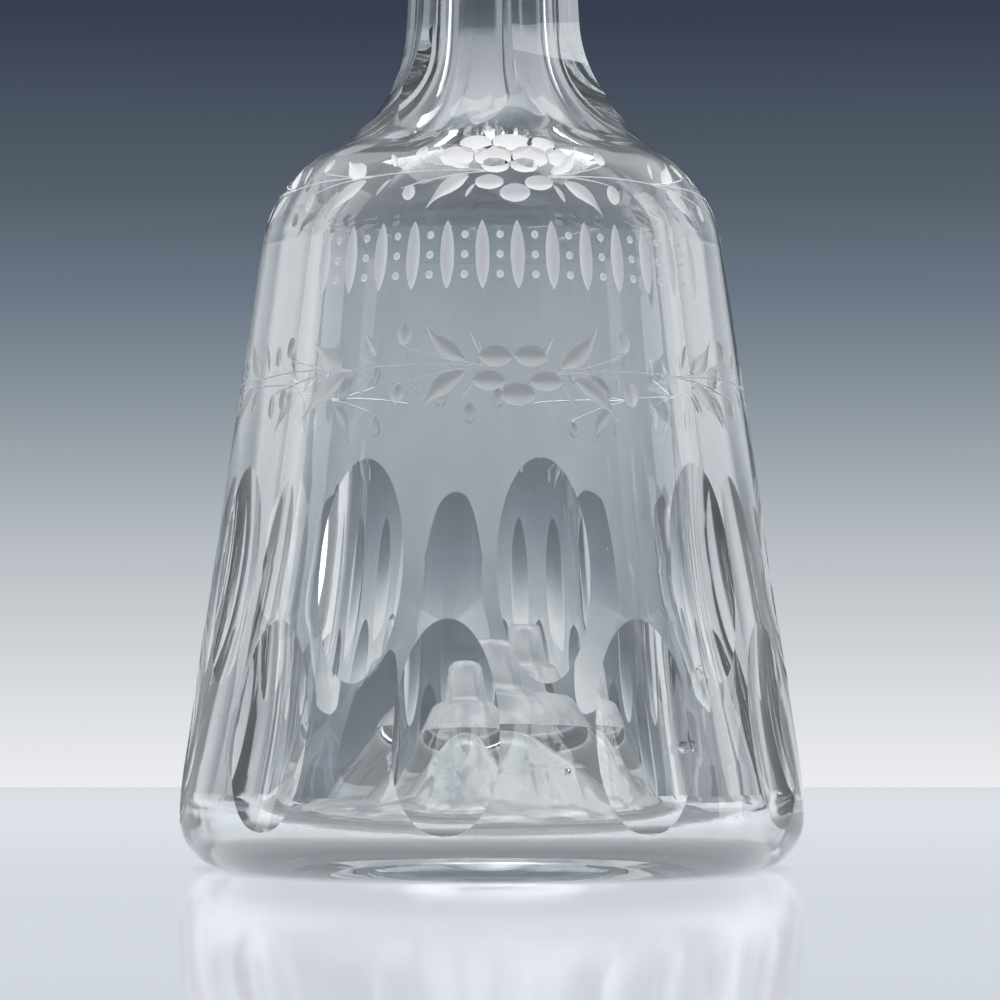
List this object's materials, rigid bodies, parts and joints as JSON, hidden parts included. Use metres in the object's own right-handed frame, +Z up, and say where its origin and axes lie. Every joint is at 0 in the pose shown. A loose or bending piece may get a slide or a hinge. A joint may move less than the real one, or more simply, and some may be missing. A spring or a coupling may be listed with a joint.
{
  "type": "bitters bottle",
  "caption": "Cut and engraved glass bitters bottle with fluted neck, hollow-cut ovals and a plated dasher pourer set in a cork, with a hinged lid.",
  "frame": {"origin": "middle of the foot, on the plane that the bottle stands on", "axes": "+Z up the axis of the bottle, the front with the middle of the garlands towards -Y, the lid's hinge towards +Y"},
  "size_m": [0.0774, 0.0774, 0.1874],
  "materials": {
    "glass": "clear lead glass, polished cuts, matt engraving",
    "cork": "natural cork",
    "stem_plate": "thin silver plate, brass showing through",
    "bare_brass": "dull brass",
    "silver_plate": "polished silver plate over brass, soft wear on the edges",
    "pin_steel": "drawn wire"
  },
  "bodies": {
    "bottle": {"bottle": "glass"},
    "pourer": {"cork": "cork", "stem_tube": "stem_plate", "cork_washer": "bare_brass", "stem_nut": "bare_brass", "mouth_flange": "silver_plate", "nozzle": "silver_plate", "dasher_disc": "silver_plate", "hinge_bracket": "silver_plate", "hinge_pin": "pin_steel"},
    "lid": {"lid": "silver_plate", "lid_seal": "cork", "thumb_piece": "silver_plate"}
  },
  "joints": [
    {"name": "pourer_lift", "type": "slide", "parent": "bottle", "child": "pourer", "axis": [0, 0, 1], "range_m": [0, 0.045]},
    {"name": "lid_hinge", "type": "hinge", "parent": "pourer", "child": "lid", "pos_m": [0, 0.0074, 0.18119], "axis": [-1, 0, 0], "range_deg": [0, 110]}
  ]
}
